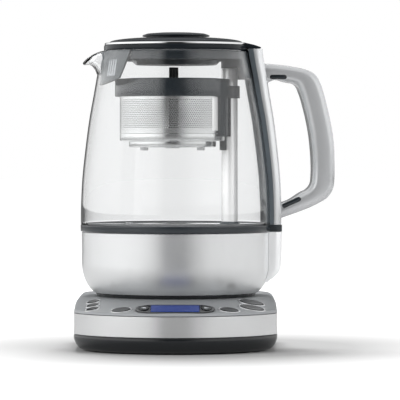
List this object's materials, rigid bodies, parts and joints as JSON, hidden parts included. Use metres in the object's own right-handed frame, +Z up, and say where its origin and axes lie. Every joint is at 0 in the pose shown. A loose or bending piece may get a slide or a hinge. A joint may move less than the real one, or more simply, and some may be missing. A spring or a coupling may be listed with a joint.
{
  "type": "automatic tea maker",
  "caption": "Glass tea kettle with a lift-off lid and a motor-driven brewing basket, on a stand with a control panel and screen.",
  "frame": {"origin": "on the surface that the stand rests on, under the middle of the whole object", "axes": "+Z up, -Y towards the front with the control panel, +X towards the handle side"},
  "size_m": [0.2094, 0.2142, 0.2542],
  "materials": {
    "black_plastic": "gloss",
    "brushed_steel": "brushed",
    "deck_silver": "satin silver",
    "rubber": "matt",
    "board": "satin",
    "screen_blue": "gloss",
    "button_black": "gloss with a bright ring",
    "polished_steel": "polished",
    "clear_glass": "clear",
    "slate_plastic": "satin",
    "grey_plastic": "satin",
    "grey_silicone": "satin",
    "basket_steel": "satin",
    "brass": "machined"
  },
  "bodies": {
    "stand": {"stand_pan": "black_plastic", "stand_band": "brushed_steel", "stand_deck": "deck_silver", "stand_connector": "black_plastic", "cord_gland": "rubber", "rubber_foot_1": "rubber", "rubber_foot_2": "rubber", "rubber_foot_3": "rubber", "rubber_foot_4": "rubber", "control_board": "board", "power_board": "board", "screen_housing": "black_plastic", "screen": "screen_blue"},
    "button_small_front": {"button_small_front": "button_black"},
    "button_small_middle": {"button_small_middle": "button_black"},
    "button_small_back": {"button_small_back": "button_black"},
    "button_round_left": {"button_round_left": "button_black"},
    "button_round_right": {"button_round_right": "button_black"},
    "button_arrow_left": {"button_arrow_left": "button_black"},
    "button_arrow_right": {"button_arrow_right": "button_black"},
    "button_oval_front": {"button_oval_front": "button_black"},
    "button_oval_back": {"button_oval_back": "button_black"},
    "kettle_coupler": {"connector_socket": "black_plastic"},
    "kettle": {"bottom_cover": "black_plastic", "bowl_shell": "brushed_steel", "bracket_cover": "brushed_steel", "spine_cover": "polished_steel", "spine_core": "black_plastic", "jug_band": "black_plastic", "glass_jug": "clear_glass", "jug_seal": "rubber", "heating_plate": "polished_steel", "heating_element": "polished_steel", "temperature_probe": "polished_steel", "handle_shell": "polished_steel", "handle_insert_upper": "black_plastic", "handle_insert_lower": "black_plastic", "column": "polished_steel", "column_foot": "slate_plastic", "lift_motor": "brushed_steel", "column_head": "slate_plastic", "rim_collar": "slate_plastic", "spout_filter": "grey_plastic"},
    "lead_screw": {"lead_screw": "brass"},
    "lift_nut": {"lift_nut": "brushed_steel"},
    "lid": {"lid_body": "black_plastic", "lid_trim_ring": "polished_steel", "lid_dome": "black_plastic", "lid_knob": "black_plastic", "lid_plate": "slate_plastic", "lid_seal": "grey_silicone"},
    "basket": {"basket_collar": "slate_plastic", "basket_mesh": "basket_steel", "basket_rim": "basket_steel", "basket_lid": "slate_plastic", "basket_stem": "black_plastic"},
    "basket_cap": {"basket_cap": "basket_steel"}
  },
  "joints": [
    {"name": "kettle_lift", "type": "slide", "parent": "stand", "child": "kettle_coupler", "axis": [0, 0, 1], "range_m": [0, 0.06]},
    {"name": "kettle_swivel", "type": "hinge", "parent": "kettle_coupler", "child": "kettle", "pos_m": [-0.02391, 0.0103, 0.047], "axis": [0, 0, 1], "continuous": true},
    {"name": "lid_lift", "type": "slide", "parent": "kettle", "child": "lid", "axis": [0, 0, 1], "range_m": [0, 0.06]},
    {"name": "basket_travel", "type": "slide", "parent": "kettle", "child": "basket", "axis": [0, 0, -1], "range_m": [0, 0.056]},
    {"name": "nut_travel", "type": "slide", "parent": "kettle", "child": "lift_nut", "axis": [0, 0, -1], "range_m": [0, 0.056]},
    {"name": "screw_turn", "type": "hinge", "parent": "kettle", "child": "lead_screw", "pos_m": [0.01962, 0.01411, 0.1], "axis": [0, 0, 1], "range_deg": [0, 1009]},
    {"name": "cap_twist", "type": "hinge", "parent": "basket", "child": "basket_cap", "pos_m": [-0.0267, 0.01006, 0.16], "axis": [0, 0, 1], "range_deg": [0, 30]},
    {"name": "small_front_press", "type": "slide", "parent": "stand", "child": "button_small_front", "axis": [0.197, 0.1629, -0.9668], "range_m": [0, 0.0012], "stiffness_N_per_m": 300},
    {"name": "small_middle_press", "type": "slide", "parent": "stand", "child": "button_small_middle", "axis": [0.197, 0.1629, -0.9668], "range_m": [0, 0.0012], "stiffness_N_per_m": 300},
    {"name": "small_back_press", "type": "slide", "parent": "stand", "child": "button_small_back", "axis": [0.197, 0.1629, -0.9668], "range_m": [0, 0.0012], "stiffness_N_per_m": 300},
    {"name": "round_left_press", "type": "slide", "parent": "stand", "child": "button_round_left", "axis": [0.0946, 0.1654, -0.9817], "range_m": [0, 0.0012], "stiffness_N_per_m": 300},
    {"name": "round_right_press", "type": "slide", "parent": "stand", "child": "button_round_right", "axis": [-0.0946, 0.1654, -0.9817], "range_m": [0, 0.0012], "stiffness_N_per_m": 300},
    {"name": "arrow_left_press", "type": "slide", "parent": "stand", "child": "button_arrow_left", "axis": [0, 0.1662, -0.9861], "range_m": [0, 0.0012], "stiffness_N_per_m": 300},
    {"name": "arrow_right_press", "type": "slide", "parent": "stand", "child": "button_arrow_right", "axis": [0, 0.1662, -0.9861], "range_m": [0, 0.0012], "stiffness_N_per_m": 300},
    {"name": "oval_front_press", "type": "slide", "parent": "stand", "child": "button_oval_front", "axis": [-0.1655, 0.1639, -0.9725], "range_m": [0, 0.0012], "stiffness_N_per_m": 300},
    {"name": "oval_back_press", "type": "slide", "parent": "stand", "child": "button_oval_back", "axis": [-0.1655, 0.1639, -0.9725], "range_m": [0, 0.0012], "stiffness_N_per_m": 300}
  ],
  "couplings": [
    {"joint": "nut_travel", "follows": "basket_travel", "ratio": 1},
    {"joint": "screw_turn", "follows": "basket_travel", "rad_per_m": 314.16}
  ]
}
